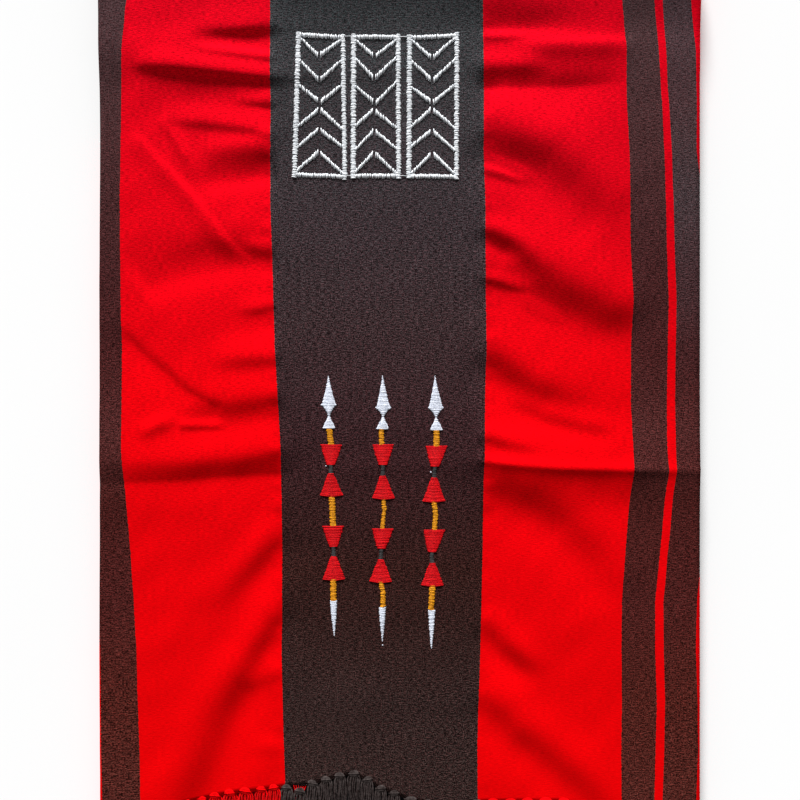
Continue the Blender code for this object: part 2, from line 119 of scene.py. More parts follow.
# Soft creases in the top layer, in millimetres. Each runs through its points from left to right.
# A rise above 0 is a ridge and below 0 a trough. Above and below are how far its slope reaches
# to each side, towards +Y and towards -Y. Power 2 is a round crease and 1 a sharp one.
Crease = namedtuple("Crease", "above below points power", defaults=(2,))
CREASES = [Crease(*row) for row in (
    # The whole top of the cloth stands a little higher, as it comes from the fold.
    (20, 22, ((-150, 212, 2.8), (-128, 212, 3.4), (-108, 212, 3.2), (-85, 213, 2.2), (-62, 214, 1.4),
     (-50, 214, 0))),
    (34, 16, ((52, 211.4, 0), (66, 211.4, 0.9), (80, 211.4, 2), (103, 211.7, 2), (118, 211.5, 1.2),
     (150, 211, 0.8))),
    # Wrinkles near the top of the left red band, the longest running on to the right one.
    (10, 3.2, ((-107, 216.5, 0), (-97, 217.4, 0.5), (-90, 218.4, 1), (-82, 219.2, 1.3), (-65.5, 220.7, 1.4),
     (-57, 220.4, 0.3), (0, 216.7, 0.3), (30, 218, 0))),
    (3.2, 7, ((-104, 214.8, 0), (-97, 214.7, -0.7), (-82, 214.2, -1.1), (-65.5, 213.9, -1.2),
     (-58, 214, 0))),
    (2.5, 2, ((-107, 209.5, 0), (-92, 207.6, 0.8), (-65.5, 204.6, 1.2), (-60.5, 204, 0))),
    (7, 3.2, ((-133.5, 201.7, 0), (-127, 200.7, 1.5), (-114.5, 199.9, 2.3), (-99.5, 198.5, 2.5),
     (-79.5, 196.5, 2.5), (-65.5, 195.2, 2.3), (-56, 195.2, 0.6), (-34.5, 196.2, 0.3),
     (20.5, 198.2, 0.3), (35, 200, 0))),
    (5, 2, ((-84, 184, 0), (-76, 183, 0.7), (-65.5, 182.2, 1.3), (-60.5, 182, 0))),
    (7, 3.5, ((-119.5, 175, 0), (-114.5, 174, 0.7), (-99.5, 173.2, 1.3), (-84.5, 171.2, 1.5),
     (-72, 169.7, 1.6), (-65.5, 166.7, 1.5), (-59.5, 165.2, 0))),
    # The thin diagonals and the dips down the left red band.
    (4, 2, ((-121, 174.5, 0), (-113.5, 166.2, 1), (-107.5, 155.2, 1.2), (-103.5, 143, 0))),
    (1.7, 5.5, ((-134, 167, 0), (-129.5, 163.2, 0.6), (-119.5, 151.7, 1), (-109.5, 141.2, 1.1),
     (-99.5, 130.2, 1.1), (-94.5, 123.2, 1), (-89.5, 116.2, 0.9), (-82, 108.2, 0.7), (-74.5, 101.7, 0))),
    (6, 6.5, ((-102, 158.7, 0), (-90, 159.2, 1), (-79.5, 160.2, 1.5), (-65.5, 161.4, 1.9),
     (-60.5, 162, 0))),
    (8, 6, ((-104.5, 140.2, 0), (-92, 142.2, -1.4), (-77, 144.4, -1.8), (-65.5, 146.7, -1.8),
     (-60.5, 148.2, 0))),
    (14, 8, ((-117, 109.2, 0), (-94.5, 116.2, 0.7), (-77, 113.7, 1.3), (-65.5, 111.2, 1.3),
     (-59.5, 110.5, 0))),
    (4, 3.5, ((-79, 112, 0), (-73, 110.5, 0.6), (-65.5, 108.5, 0.7), (-60.5, 107.5, 0))),
    (14, 9, ((-129.5, 87.2, 0), (-124.5, 90.7, -1.3), (-109.5, 95.7, -1.8), (-99.5, 98.2, -1.8),
     (-79.5, 101.9, -1.8), (-65.5, 103.8, -1.8), (-60.5, 105, 0))),
    (5, 3, ((-83.5, 79, 0), (-72, 79.2, 0.9), (-63.5, 80.7, 1), (-59.5, 81, 0))),
    (3, 9, ((-140.5, 67.7, -0.4), (-135.5, 62.7, -1), (-127, 54.2, -1), (-117, 46.2, -1),
     (-107, 37.2, -1.1), (-97, 31.7, -1), (-92, 29.5, -0.8), (-88, 28, 0))),
    (9, 6, ((-96, 54.2, 0), (-86, 55, 1.3), (-77, 55.7, 2), (-62, 56.4, 2.2), (-57.5, 56.4, 0))),
    (15, 8.5, ((-113, 31.5, 0), (-104.5, 32.2, 1.5), (-89.5, 34, 2.4), (-72, 35.7, 2.7), (-60.5, 37.2, 2.7),
     (-56, 37.7, 0))),
    (2.5, 1.8, ((-110.5, 20.6, 0), (-107.5, 20.6, 0.8), (-92, 20.6, 0.9), (-86, 20.8, 0))),
    (4, 3.8, ((-131, 15.2, 0), (-126, 18.2, 0.9), (-118, 22, 1.3), (-110.5, 25.7, 0))),
    # The storage crease: at the left a step down, at the right a sharp ridge with a long slope.
    (13, 8.5, ((-150.5, 4, 0.8), (-139, 3.5, 1.7), (-124, 3.8, 2.1), (-109.5, 4, 2.5), (-99.5, 4.6, 2.8),
     (-79.5, 6.4, 3), (-64, 9.2, 3), (-56, 11.2, 1.2), (-49.5, 12, 0))),
    (3, 8, ((-150.5, -9, -0.3), (-138.5, -8.3, -0.5), (-109.5, -7.3, -0.5), (-99.5, -6.3, -0.5),
     (-79.5, -4.8, -0.6), (-60.5, -3.8, -0.6), (-49.5, -2.7, 0)), 1.3),
    (20, 12, ((-150.5, 20, 0.8), (-135, 20, 1.3), (-118, 22, 1.3), (-106, 24, 0.7), (-98, 25, 0))),
    (26, 26, ((-150.5, -12, 0.6), (-137, -11, 1.2), (-110, -10, 1.2), (-95, -9, 0.7), (-80, -8, 0))),
    (6, 5, ((-49.5, -2.7, 0), (-20, -1, 0.4), (20.5, 1.2, 0.4), (35, 1.6, 0))),
    (18, 13, ((20.5, 1.2, 0), (35.5, 3, 0.9), (43.5, 3.4, 2.5), (50.5, 2.4, 2.9), (60.5, 1.4, 3),
     (80.5, -0.1, 3.1), (100.5, -0.6, 3), (117.5, -1, 2.5), (134.5, -1.3, 1.5), (150.5, -1.6, 1)), 1.8),
    (3.2, 2.8, ((35.5, 2.9, 0), (43.5, 3.1, 1.4), (50.5, 2.1, 1.5), (60.5, 1.1, 1.5), (80.5, -0.5, 1.4),
     (100.5, -1, 1.3), (117.5, -1.5, 1.2), (134.5, -1.9, 0.9), (150.5, -2.3, 0.6)), 1.4),
    (8, 4, ((-81, -109.5, 0), (-74.5, -107.5, 0.8), (-64.5, -103.2, 0.9), (-58, -101.5, 0))),
    (5, 4, ((-77, -141, 0), (-65.5, -139.9, 0.7), (-57.5, -139, 0))),
    # Wrinkles near the top of the right red band, above and along the level step down.
    (8, 3, ((39.5, 219.7, 0), (47, 219.7, -1), (60.5, 219.7, -1.3), (75, 219.4, -0.9), (86, 219.2, -0.4),
     (100, 219, 0))),
    (2.2, 1.8, ((40.5, 214.7, 0), (44.5, 215.1, 0.8), (58, 215, 0.7), (66, 214.2, 0))),
    (3, 5.5, ((52, 210.2, 0), (60.5, 210.4, 0.7), (73, 210.8, 1.2), (88, 210.8, 1.2), (103, 211.2, 1.2),
     (111.5, 211.2, 0.8), (118, 211, 0))),
    (6, 5, ((35.5, 200.6, 0), (42.5, 200.8, 1.6), (60.5, 201.2, 1.9), (68, 201, 1.1), (77, 200.5, 0))),
    (6, 9, ((36, 190, 0), (42.5, 190, -1.8), (60.5, 190, -1.8), (88, 190, -1.8), (97, 190.7, -1.3),
     (106, 191.7, -0.8), (114, 192, 0)), 1.4),
    (2.5, 2.4, ((40.5, 149.7, 0), (43.5, 149.2, 1.1), (50.5, 147.2, 1.3), (58, 144.7, 1), (67, 143.2, 0))),
    (12, 22, ((44, -14, 0), (52, -18, -0.5), (66, -23, -0.7), (80, -31, -0.7), (92, -44, 0))),
    (4, 2.5, ((40.5, 96, 0), (43.5, 95.2, 1.1), (50.5, 93.2, 1.2), (58, 90.7, 1), (66, 88.2, 0))),
    # One thin crease in the centre, and the broad swells of the solid.
    (1.8, 1.8, ((5.5, -118.2, 0), (15.5, -118.7, 0.4), (31.5, -119.7, 0.35), (36.5, -120.2, 0))),
    (22, 22, ((-100, 130, 1), (-99.9, 60, 1))),
    (20, 20, ((-120, -110, 0.8), (-90, -30, 0.8))),
    (24, 24, ((89.9, 20, 0.6), (90, 180, 0.6))),
    (16, 16, ((-27.1, -162, 1.6), (-27, -120, 1.6))),
    (30, 30, ((-0.1, -60, 0.5), (0, 120, 0.5))),
)]
# Slanting dark bands on the top layer, in millimetres: a ridge with a trough beside it, width apart.
# The points run from left to right between them, and trough is its share of the ridge's rise.
DarkBand = namedtuple("DarkBand", "width points trough", defaults=(1,))
DARK_BANDS = [DarkBand(*row) for row in (
    # Below the storage crease, at the left.
    (10, ((-96.5, -77.8, 0), (-88.5, -68.8, 0.35), (-82, -61.8, 0.6), (-76, -55.2, 0.95),
     (-70.5, -48.8, 1.25), (-65.5, -42.8, 1.3), (-60.5, -36.8, 1), (-55.5, -28.8, 0))),
    (10, ((-90.5, -131.8, 0), (-85.5, -119.8, 0.5), (-80, -108.8, 1.05), (-74, -97.8, 1.4),
     (-67, -85.8, 1.45), (-60, -73.2, 1.2), (-55.5, -64.8, 0))),
    (17, ((-108.5, -169.8, 1.8), (-104.5, -161.8, 1.9), (-98, -147.8, 1.9), (-92, -133.2, 2),
     (-85.5, -119.8, 1.7), (-78.5, -106.8, 0.9), (-72, -94.8, 0))),
    # Down the right red band, the last three below the storage crease.
    (19, ((37.5, 167.8, 0), (42.5, 165.8, 1.9), (50.5, 163.2, 2.4), (58, 160.2, 2.6), (65.5, 157.2, 2.7),
     (73, 153.8, 2.5), (80.5, 148.8, 2), (88, 141.8, 1.8), (95.5, 134.2, 1.5), (101.5, 128.2, 1.2),
     (108.5, 121.2, 0))),
    (7.5, ((38.5, 117.8, 0), (42.5, 116.8, 1.1), (48, 114.8, 1.5), (54.5, 111.8, 1.4), (60.5, 108.2, 1),
     (65.5, 102.2, 0.7), (73, 94.2, 0))),
    (20, ((48.5, 110.2, 0), (54.5, 106.8, 1.1), (60.5, 101.2, 2), (70.5, 93.2, 2.5), (80.5, 87.2, 2.7),
     (90.5, 82.2, 2.6), (100.5, 77.2, 2.4), (108, 74.2, 2.3), (116.5, 72.2, 1.7), (125.5, 70.2, 0))),
    (13, ((37.5, 58.2, 0), (43.5, 55.2, 1.5), (50.5, 51.2, 1.7), (56.5, 45.8, 1.7), (63, 40.8, 1.6),
     (70.5, 37.2, 1.4), (80.5, 34.2, 1), (90.5, 31.8, 0.5), (102.5, 29.2, 0))),
    (7, ((52, 32.8, 0), (60.5, 29.8, 0.5), (73, 24.2, 0.7), (88, 20.2, 0.7), (100.5, 17.8, 0.5),
     (109, 15.8, 0))),
    (7, ((38.5, 14.8, 0), (42.5, 13.2, 1.4), (50.5, 11.2, 1.4), (60.5, 8.8, 0.9), (74, 6.8, 0)), 0.5),
    (16, ((42.5, -7.8, 0), (50.5, -10.8, 0.7), (60.5, -14.8, 0.9), (73, -20.8, 1.2), (83, -28.8, 1.3),
     (93, -37.8, 1.2), (100.5, -47.8, 1), (105.5, -56.8, 0.8), (111.5, -69.8, 0))),
    (9, ((37.5, -77.8, 0), (42.5, -80.8, 0.85), (47.5, -84.2, 1), (52, -89.8, 1.15), (58, -95.2, 1.15),
     (64, -100.2, 0.95), (71.5, -106.8, 0))),
    (13, ((36.5, -113.8, 0), (42.5, -117.8, 1.1), (50.5, -124.2, 1.3), (58, -132.2, 1.25),
     (68, -139.8, 1.25), (78, -147.2, 1.25), (85.5, -153.8, 1.2), (93, -161.2, 1.15),
     (100.5, -169.8, 0.9))),
)]
BAND_INNER_REACH = 0.67
BAND_OUTER_REACH = 0.77
DEEPEST_TROUGH = -1.8 * MM
RELIEF_STARTS_TO_END = 0.226
RELIEF_ENDS = 0.250

# Small puckers beside the two edges of the centre band, where its weave is tighter.
PUCKER_HEIGHT = 0.00017
PUCKER_REACH = 0.0045
PUCKER_START_RUN = 0.0015
PUCKER_PHASE = 9000
PUCKER_WAVES = ((0.0093, 0.6), (0.0137, 0.5), (0.0061, 0.25))

# Faint unevenness all over, made of long waves.
UNEVEN_WAVES = 14
UNEVEN_HEIGHT = 0.00003
UNEVEN_SHORTEST = 0.014
UNEVEN_LONGEST = 0.050
UNEVEN_SEED = 3

# How far the hems stand back (above 0) or forward across the width, in millimetres.
UPPER_HEM_LINE = ((-151, -11), (-120, -9), (-100, -6), (-88, -3.3), (-80, -1.8), (-72, -1), (-64.5, 0.2),
                  (-57, 1.2), (-49, 1.8), (-43, 2.9), (-36, 5), (-28.6, 7.2), (-22, 8.1), (-15.4, 4.5),
                  (-9.5, 0.3), (-0.8, -2.8), (7, -6), (22, -8), (36, -7.2), (43, -6.5), (78, -6.5),
                  (90, -8), (111, -9.5), (151, -11))
LOWER_HEM_LINE = ((-151, 2), (-75, -1.5), (-10, 1.5), (70, -2), (151, 1))
HEM_PULL_REACH = 0.060

# The fringes: the places of numbered strands across the cloth, in millimetres.
STRAND_PLACES = ((0, -145), (7, -92.25), (10, -69), (12, -56.25), (14, -43), (20, -2.5), (27, 55.5),
                 (30, 82), (37, 145))
STRANDS = 38
DROP_LENGTH = 0.030
SWAY = 0.0012
SWAY_SHARES = (0.4, 1.0)
SWAY_WAVE_LENGTH = 0.045
UPPER_STRAND_LENGTH = 0.058
LOWEST_POINT_Y = -0.264
LENGTH_SPREAD = 0.006
LONGEST_STRAND_EVERY = 6
UPPER_FRINGE_SEED = 5
LOWER_FRINGE_SEED = 8
DETAIL_SEED_STEP = 100
YARN_SIDES = 5
KNOT_BELOW_HEM = -0.0006
KNOT_WIDTH_SHARE = 0.84
KNOT_HALF_LENGTH = 0.0021
KNOT_HALF_HEIGHT = 0.0006
KNOT_LIFT = 0.0002
KNOT_LOWER_AT = {13: 0.0030, 12: 0.0008}
LOWER_KNOT_HEIGHT = 0.0013
KNOT_STATIONS = 9
KNOT_SIDES = 10
KNOT_ROUNDNESS = (2, 0.06)
KNOT_TILT = 0.0014
WRAP_RADIUS = 0.00022
WRAP_STATIONS = 12
WRAP_SIDES = 6
WRAP_ROUNDNESS = (4, 0.03)
WRAP_HEIGHT_SHARE = 0.9
GATHERED_SHARE = 0.8
RED_ROOTS_AT = (13,)
ROOT_YARNS = 6
ROOT_STATIONS = 5
ROOT_YARN_RADIUS = 0.00034
ROOT_INSIDE = 0.0006
ROOT_LIFT = 0.0002
TASSEL_YARNS = 12
TASSEL_YARN_RADIUS = 0.0004
TASSEL_YARN_SIZES = (0.85, 1.15)
TASSEL_TIP_SIZE = 0.5
TASSEL_STATIONS = 16
TASSEL_STATION_POWER = 1.5
TASSEL_GAP = 0.0003
TASSEL_WIDEST_AT = 0.0025
TASSEL_REST_HALF_WIDTH = 0.0023
TASSEL_TIP_HALF_WIDTH = TASSEL_REST_HALF_WIDTH * 1.15
TASSEL_GATHERED_AT = 0.024
TASSEL_ROW_RISE = 0.00062
TASSEL_REST_HEIGHT = TASSEL_YARN_RADIUS * TASSEL_YARN_SIZES[1] + TASSEL_ROW_RISE / 2
TASSEL_WANDER = 0.00035
TASSEL_WAVE_LENGTHS = (0.012, 0.02)
TASSEL_PHASE_RANGE = 6.28
TASSEL_RAGGED = 0.003

# The sewn threads: pitch and radius in millimetres, height as a share of the width, and how
# uneven their ends are.
Stitch = namedtuple("Stitch", "pitch radius flat ragged")
STITCHES = {
    "panel": Stitch(0.62, 0.305, 1.0, 0.26),
    "white": Stitch(0.42, 0.34, 0.75, 0.12),
    "yellow": Stitch(0.48, 0.33, 0.9, 0.18),
    "red": Stitch(0.46, 0.35, 0.75, 0.16),
    "grey": Stitch(0.42, 0.32, 0.8, 0.10),
}
THREAD_ARCH = 0.00045
THREAD_SIDES = 6
THREAD_STATIONS = 5
THREAD_END_RUN = 0.00045
THREAD_END_DIP = 0.00020
THREAD_END_SIZE = 0.7
THREAD_END_SHARE = 0.3
THREAD_ARCH_POWER = 0.6
THREAD_ARCH_LENGTH = 0.0025
THREAD_ARCH_MOST = 1.15
THREAD_SIZE_SPREAD = 0.16
SEWING_SEED = 11

# The sewn panel, in millimetres: the four corners of each of its three frames.
PanelFrame = namedtuple(
    "PanelFrame", "left_top left_bottom right_top right_bottom middle_x left_width right_width")
PANEL_FRAMES = [PanelFrame(*row) for row in (
    ((-50.2, 216), (-52.3, 146), (-28, 214.6), (-27.1, 144.9), -39.8, 2.6, 2.3),
    ((-22.7, 214.8), (-22.9, 145.3), (-0.4, 214.8), (-0.2, 145.3), -12.3, 2.6, 2.4),
    ((5.3, 214.3), (5, 145.2), (29, 215.6), (28.7, 144.9), 16.5, 2.6, 2.4),
)]
PANEL_BAR_HEIGHT = 2.2
# The arms of the panel's chevrons: heights at the left bar, left of the middle, right of the
# middle and at the right bar, for each frame from the top down.
Arms = namedtuple("Arms", "left left_inner right_inner right")
PANEL_ARMS = [[Arms(*row) for row in rows] for rows in (
    ((214, 205.8, 206.2, 213.2), (202.8, 193.8, 193.8, 202.8), (190.4, 183.2, 182.5, 190.4),
     (170.4, 178.1, 178.1, 168.9), (160, 168.3, 167.8, 160), (148.2, 156.8, 156.3, 146.6)),
    ((213, 205.8, 205.5, 213.2), (203.5, 194.7, 194.7, 204.3), (190, 182.8, 181.9, 192.1),
     (170.6, 177.9, 177.2, 169.4), (158.9, 167.4, 167, 159.1), (147.4, 156.3, 155.9, 146.6)),
    ((212.9, 204.9, 204.9, 214), (202.5, 193.8, 193.4, 203.2), (189.2, 182.8, 182.3, 190.7),
     (170.2, 178.2, 178.1, 169.4), (160.3, 167.4, 167.4, 158.3), (146.8, 155.7, 155.9, 146.8)),
)]
ARM_MIDDLE_GAP = 0.95
ARM_THICKNESS = ((0, 1.8), (0.25, 2.2), (0.8, 2.5), (1, 3))
# Single thin threads that run on between the frames.
LINK_THREADS = (((-27.5, 214.9), (-23.2, 215.1)), ((-0.6, 215), (4.4, 214.7)),
                ((-26.8, 145.3), (-23.2, 145.3)), ((-0.4, 145.4), (4.6, 145.3)))
LINK_THREAD_SIZE = 0.42

# The three sewn spears, in millimetres: x by height, the width of each shaft as a share of the
# usual one, and the heights at which each sewn shape begins, from the tip down.
Spear = namedtuple("Spear", "path shafts heights")
SPEARS = (
    Spear(((-85, -32.4), (-57, -32.9), (-55.8, -32.5), (-29.5, -33), (-3.8, -34.1), (10.7, -33.9),
           (19.2, -35), (45.3, -35.3)), (1, 1, 1),
          (45.3, 30.7, 25.2, 19.2, 10.9, 1, -3.5, -14.3, -29.7, -40, -44.9, -56.3, -67, -85)),
    Spear(((-87.5, -8.3), (-70.2, -8.3), (-69.7, -7.9), (-62.7, -8), (-57.7, -9.2), (-46.2, -9.1),
           (-40.7, -8.8), (-31.5, -8.1), (-30.7, -8.3), (-21.7, -7.3), (-16, -7.7), (-4.2, -8.1),
           (10.9, -7.9), (11.2, -8.7), (18.7, -8.7), (19, -8.2), (29.2, -7.8), (45.3, -8.2)),
          (0.85, 0.72, 0.85),
          (45.3, 29.2, 24.7, 18.7, 10.9, 1, -4.5, -15.8, -31, -41, -46.4, -57.5, -70.2, -87.5)),
    Spear(((-91, 16.2), (-71.8, 16.4), (-71.3, 16), (-60.8, 16.7), (-48.3, 16.6), (-45.3, 16.3),
           (-32.3, 17.6), (-31.8, 17.7), (-23.8, 18.3), (-17.3, 17.4), (-5.8, 17.6), (-3, 17.7),
           (10, 18.8), (19, 18.7), (45.3, 18)), (1, 0.88, 1),
          (45.3, 29.2, 24.2, 18.2, 10.2, 0, -5.5, -17.3, -31.8, -42.7, -48.2, -59.3, -71.8, -91)),
)
# Tiny knots and ends of thread that stand beside the spears: x, y and half length.
STRAY_STITCHES = ((-36.5, 0.3, 0.4), (15.9, -2.8, 0.55), (-8.2, -89.4, 0.4))
# The shapes down a spear: thread, half widths by share of the way down, and how far the middle
# of a thread sags at the shape's end.
Shape = namedtuple("Shape", "thread half_widths sag")
HEAD = Shape("white", ((0, 0.15), (0.24, 0.85), (0.52, 1.75), (0.8, 2.8), (0.93, 3.3), (1, 4.2)), 0.25)
NECK = Shape("white", ((0, 4), (0.12, 3.1), (0.3, 2.3), (0.64, 1.15), (1, 0.55)), 0)
FOOT = Shape("white", ((0, 0.55), (0.33, 1.3), (0.63, 2.35), (1, 3.2)), 0.1)
SHAFT = Shape("yellow", ((0, 1.6), (0.5, 1.5), (1, 1.5)), 0.1)
CONE_DOWN = Shape("red", ((0, 5.5), (0.12, 5.1), (0.5, 4), (1, 2.2)), 0.2)
GAP = Shape("grey", ((0, 1.25), (0.5, 1), (1, 1.25)), 0)
CONE_UP = Shape("red", ((0, 1.3), (0.3, 2.8), (0.75, 4.6), (1, 5.9)), 0.8)
TAIL = Shape("white", ((0, 1.85), (0.5, 1.2), (1, 0.2)), 0)
SPEAR_SHAPES = (HEAD, NECK, FOOT, SHAFT, CONE_DOWN, GAP, CONE_UP, SHAFT, CONE_DOWN, GAP, CONE_UP,
                SHAFT, TAIL)

# Colours along the cloth, from the upper hem (0) to just past the outer fold (1). Their slow change is
# painted cool sheen from the light at the top: the red gains blue, and the dark bands go from browner near
# the hem to greyer and cooler near the top.
RED_WITH_PAINTED_SHEEN = (
    (0, (0.72, 0.0003, 0.0012)), (0.4, (0.73, 0.0003, 0.003)), (0.75, (0.73, 0.0009, 0.01)),
    (1, (0.75, 0.002, 0.018)),
)
# Painted shade: the right red band is painted a little deeper between 0.37 and 0.72 along, standing in for
# the shade of a broad slope.
RIGHT_RED_PAINTED_SHADE = (
    (0.37, (1, 1, 1)), (0.43, (0.88, 0.9, 0.9)), (0.62, (0.86, 0.95, 1)), (0.72, (0.95, 1, 1)),
)
CENTRE_WITH_PAINTED_SHEEN = (
    (0, (0.03, 0.0165, 0.015)), (0.09, (0.0275, 0.0145, 0.0135)), (0.22, (0.0285, 0.01, 0.0085)),
    (0.33, (0.032, 0.0118, 0.013)), (0.38, (0.0355, 0.016, 0.0178)), (0.47, (0.041, 0.0235, 0.0255)),
    (0.57, (0.0385, 0.0265, 0.0298)), (0.78, (0.045, 0.0465, 0.05)),
)
SIDE_WITH_PAINTED_SHEEN = (
    (0, (0.068, 0.0158, 0.0122)), (0.09, (0.068, 0.0135, 0.0102)), (0.19, (0.0605, 0.012, 0.0108)),
    (0.29, (0.0525, 0.0107, 0.0095)), (0.36, (0.068, 0.018, 0.0172)), (0.44, (0.054, 0.0125, 0.0125)),
    (0.52, (0.054, 0.015, 0.0155)), (0.65, (0.064, 0.0245, 0.0255)), (0.78, (0.0715, 0.036, 0.0385)),
)
# Painted sheen on the outer dark stripe: greyer and cooler between 0.44 and 0.69 along.
OUTER_PAINTED_SHEEN = (
    (0.4, (1, 1, 1)), (0.44, (0.95, 1.2, 1.25)), (0.49, (1, 1.6, 1.7)), (0.59, (1, 1.85, 1.95)),
    (0.69, (1, 1.15, 1.2)),
)
OUTER_BAND_FROM = 0.134
CENTRE_TINTS = ((0.35, (1.15, 0.89, 0.91)), (0.5, (1, 1, 1)), (0.65, (0.89, 1.11, 1.07)))
SIDE_TINTS = ((0.35, (1.06, 0.88, 0.89)), (0.5, (1, 1, 1)), (0.65, (0.94, 1.12, 1.11)))
# The length of cloth that those tables cover, in metres.
CHANGE_LENGTH = 0.5

# Patterns of noise in the cloth, by how often each repeats in a metre across and along.
Pattern = namedtuple("Pattern", "across along detail", defaults=(1,))
CLOTH_PATTERNS = {
    "grain": Pattern(1700, 2200),
    "dashes": Pattern(420, 2200),
    "tints": Pattern(800, 1300, 2),
    "broad": Pattern(11, 24, 3),
    "tremble": Pattern(300, 1300),
}
EDGE_TREMBLE = 0.0007
# How strongly each pattern lightens and darkens the dark bands and the red ones.
Strength = namedtuple("Strength", "grain dashes broad")
DARK_GRAIN = Strength(9.5, 6, 0.4)
DARKEST_SPARK = 0.2
CALM_POWER = 3
CALM_BY_TOP = 0.85
SIDE_CALM = 0.3
RED_GRAIN = Strength(0.9, 1.4, 0.2)
RED_GRAIN_AT_HEM = 0.4
RED_GRAIN_GROWS = 1.2
CLOTH_ROUGHNESS = 0.92
FAINT_GLOSS = 0.02
# Bumps: the height that they stand for, in metres, and their strength.
CLOTH_BUMP = (0.00004, 0.5)
BUMP_DASHES = 1.4

# Sewing threads and fringe yarns: their colour, the darker side of it, roughness and gloss.
Fibre = namedtuple("Fibre", "name colour dark roughness gloss")
THREADS = {
    "panel": Fibre("white_thread", (0.98, 0.99, 1), (0.62, 0.67, 0.73), 0.5, 0.2),
    "white": Fibre("spear_white", (0.84, 0.87, 0.96), (0.38, 0.42, 0.52), 0.5, 0.2),
    "yellow": Fibre("yellow_thread", (0.8, 0.34, 0.012), (0.33, 0.1, 0.004), 0.5, 0.1),
    "red": Fibre("red_thread", (0.72, 0.006, 0.01), (0.26, 0.002, 0.005), 0.55, 0.05),
    "grey": Fibre("grey_thread", (0.055, 0.052, 0.052), (0.022, 0.02, 0.021), 0.6, 0.1),
}
RED_YARN = Fibre("red_yarn", (0.8, 0.0006, 0.002), (0.5, 0.0003, 0.001), 0.9, 0.03)
DARK_YARN = Fibre("dark_yarn", (0.072, 0.058, 0.055), (0.02, 0.014, 0.013), 0.9, 0.03)
YARN_SHEEN = 0.03
YARN_SHEEN_ROUGHNESS = 0.5
YARN_SHEEN_TINT = (1, 0.5, 0.5, 1)
# How thread and yarn vary: changes and fibres in a metre, and where the noise is dark or full.
Kind = namedtuple("Kind", "change fibres detail dark_below full_above bump_distance bump_strength")
THREAD_KIND = Kind(1900, 5200, 2, 0.3, 0.62, 0.00008, 0.5)
YARN_KIND = Kind(700, 2600, 3, 0.32, 0.65, 0.0002, 0.6)

# The floor.
FLOOR_SIDE = 4.0
FLOOR_ROUGHNESS = 0.9
FLOOR_NOISE = (3, 2)
FLOOR_COLOURS = ((0, (0.93, 0.93, 0.93)), (1, (0.96, 0.96, 0.96)))

# The camera straight above, the key light from the top of the view, and the fill all round.
VIEW_WIDTH = 0.4
VIEW_MIDDLE = (0.0005, 0.03325)
VIEW_SURFACE = 0.0095
LENS_MM = 50
SENSOR_MM = 36
KEY_ELEVATION = 20
KEY_FROM_SIDE = -6
KEY_ANGLE = 16
FULL_LIGHT = 1.05
FILL_LIGHT = 0.24

# Directions, and the numbers of a mix node's sockets for its share, its two colours and its result.
ACROSS = (1, 0, 0)
ALONG = (0, 1, 0)
UP = (0, 0, 1)
MIX_INPUTS = (0, 6, 7)
MIX_OUTPUT = 2
TINY = 1e-9


def ease(t):
    """0 before 0, 1 after 1, and a soft curve between them."""
    t = np.clip(t, 0.0, 1.0)
    return t * t * (3 - 2 * t)


def read_table(rows, at, soft=True):
    """The second column of a short table at places in its first column."""
    places = np.array([row[0] for row in rows], float)
    values = np.array([row[1] for row in rows], float)
    if not soft:
        return np.interp(at, places, values)
    at = np.clip(at, places[0], places[-1])
    index = np.clip(np.searchsorted(places, at, side="right") - 1, 0, len(places) - 2)
    share = ease((at - places[index]) / (places[index + 1] - places[index]))
    return values[index] + share * (values[index + 1] - values[index])


def crease_rise(crease, x, y):
    """How far one crease lifts the cloth at the points x, y, all in millimetres."""
    best = np.full(x.shape, np.inf)
    rise = np.zeros(x.shape)
    side = np.zeros(x.shape)
    for (x0, y0, rise0), (x1, y1, rise1) in zip(crease.points, crease.points[1:]):
        run_x, run_y = x1 - x0, y1 - y0
        length = math.hypot(run_x, run_y)
        along = np.clip(((x - x0) * run_x + (y - y0) * run_y) / length**2, 0.0, 1.0)
        off_x, off_y = x - x0 - along * run_x, y - y0 - along * run_y
        distance = np.hypot(off_x, off_y)
        nearer = distance < best
        best = np.where(nearer, distance, best)
        rise = np.where(nearer, rise0 + along * (rise1 - rise0), rise)
        across = (off_y * run_x - off_x * run_y) / length
        side = np.where(nearer, across / np.maximum(distance, TINY), side)
    spread = crease.below + (crease.above - crease.below) * (1 + side) / 2
    return rise * np.exp(-((best / spread) ** crease.power))


def creases_of(band):
    """The ridge and the trough of one dark band."""
    places = np.array([point[:2] for point in band.points])
    rises = np.array([point[2] for point in band.points])
    ends = np.minimum(np.arange(len(places)) + 1, len(places) - 1)
    starts = np.maximum(np.arange(len(places)) - 1, 0)
    run = places[ends] - places[starts]
    outward = np.stack([-run[:, 1], run[:, 0]], axis=1) / np.hypot(run[:, 0], run[:, 1])[:, None]
    inner, outer = band.width * BAND_INNER_REACH, band.width * BAND_OUTER_REACH
    ridge = np.column_stack([places + outward * band.width / 2, rises])
    trough = np.column_stack([places - outward * band.width / 2, -rises * band.trough])
    return Crease(outer, inner, ridge.tolist()), Crease(inner, outer, trough.tolist())


def every_crease():
    """The single creases, and the two of each dark band."""
    made = list(CREASES)
    for band in DARK_BANDS:
        made += creases_of(band)
    return made


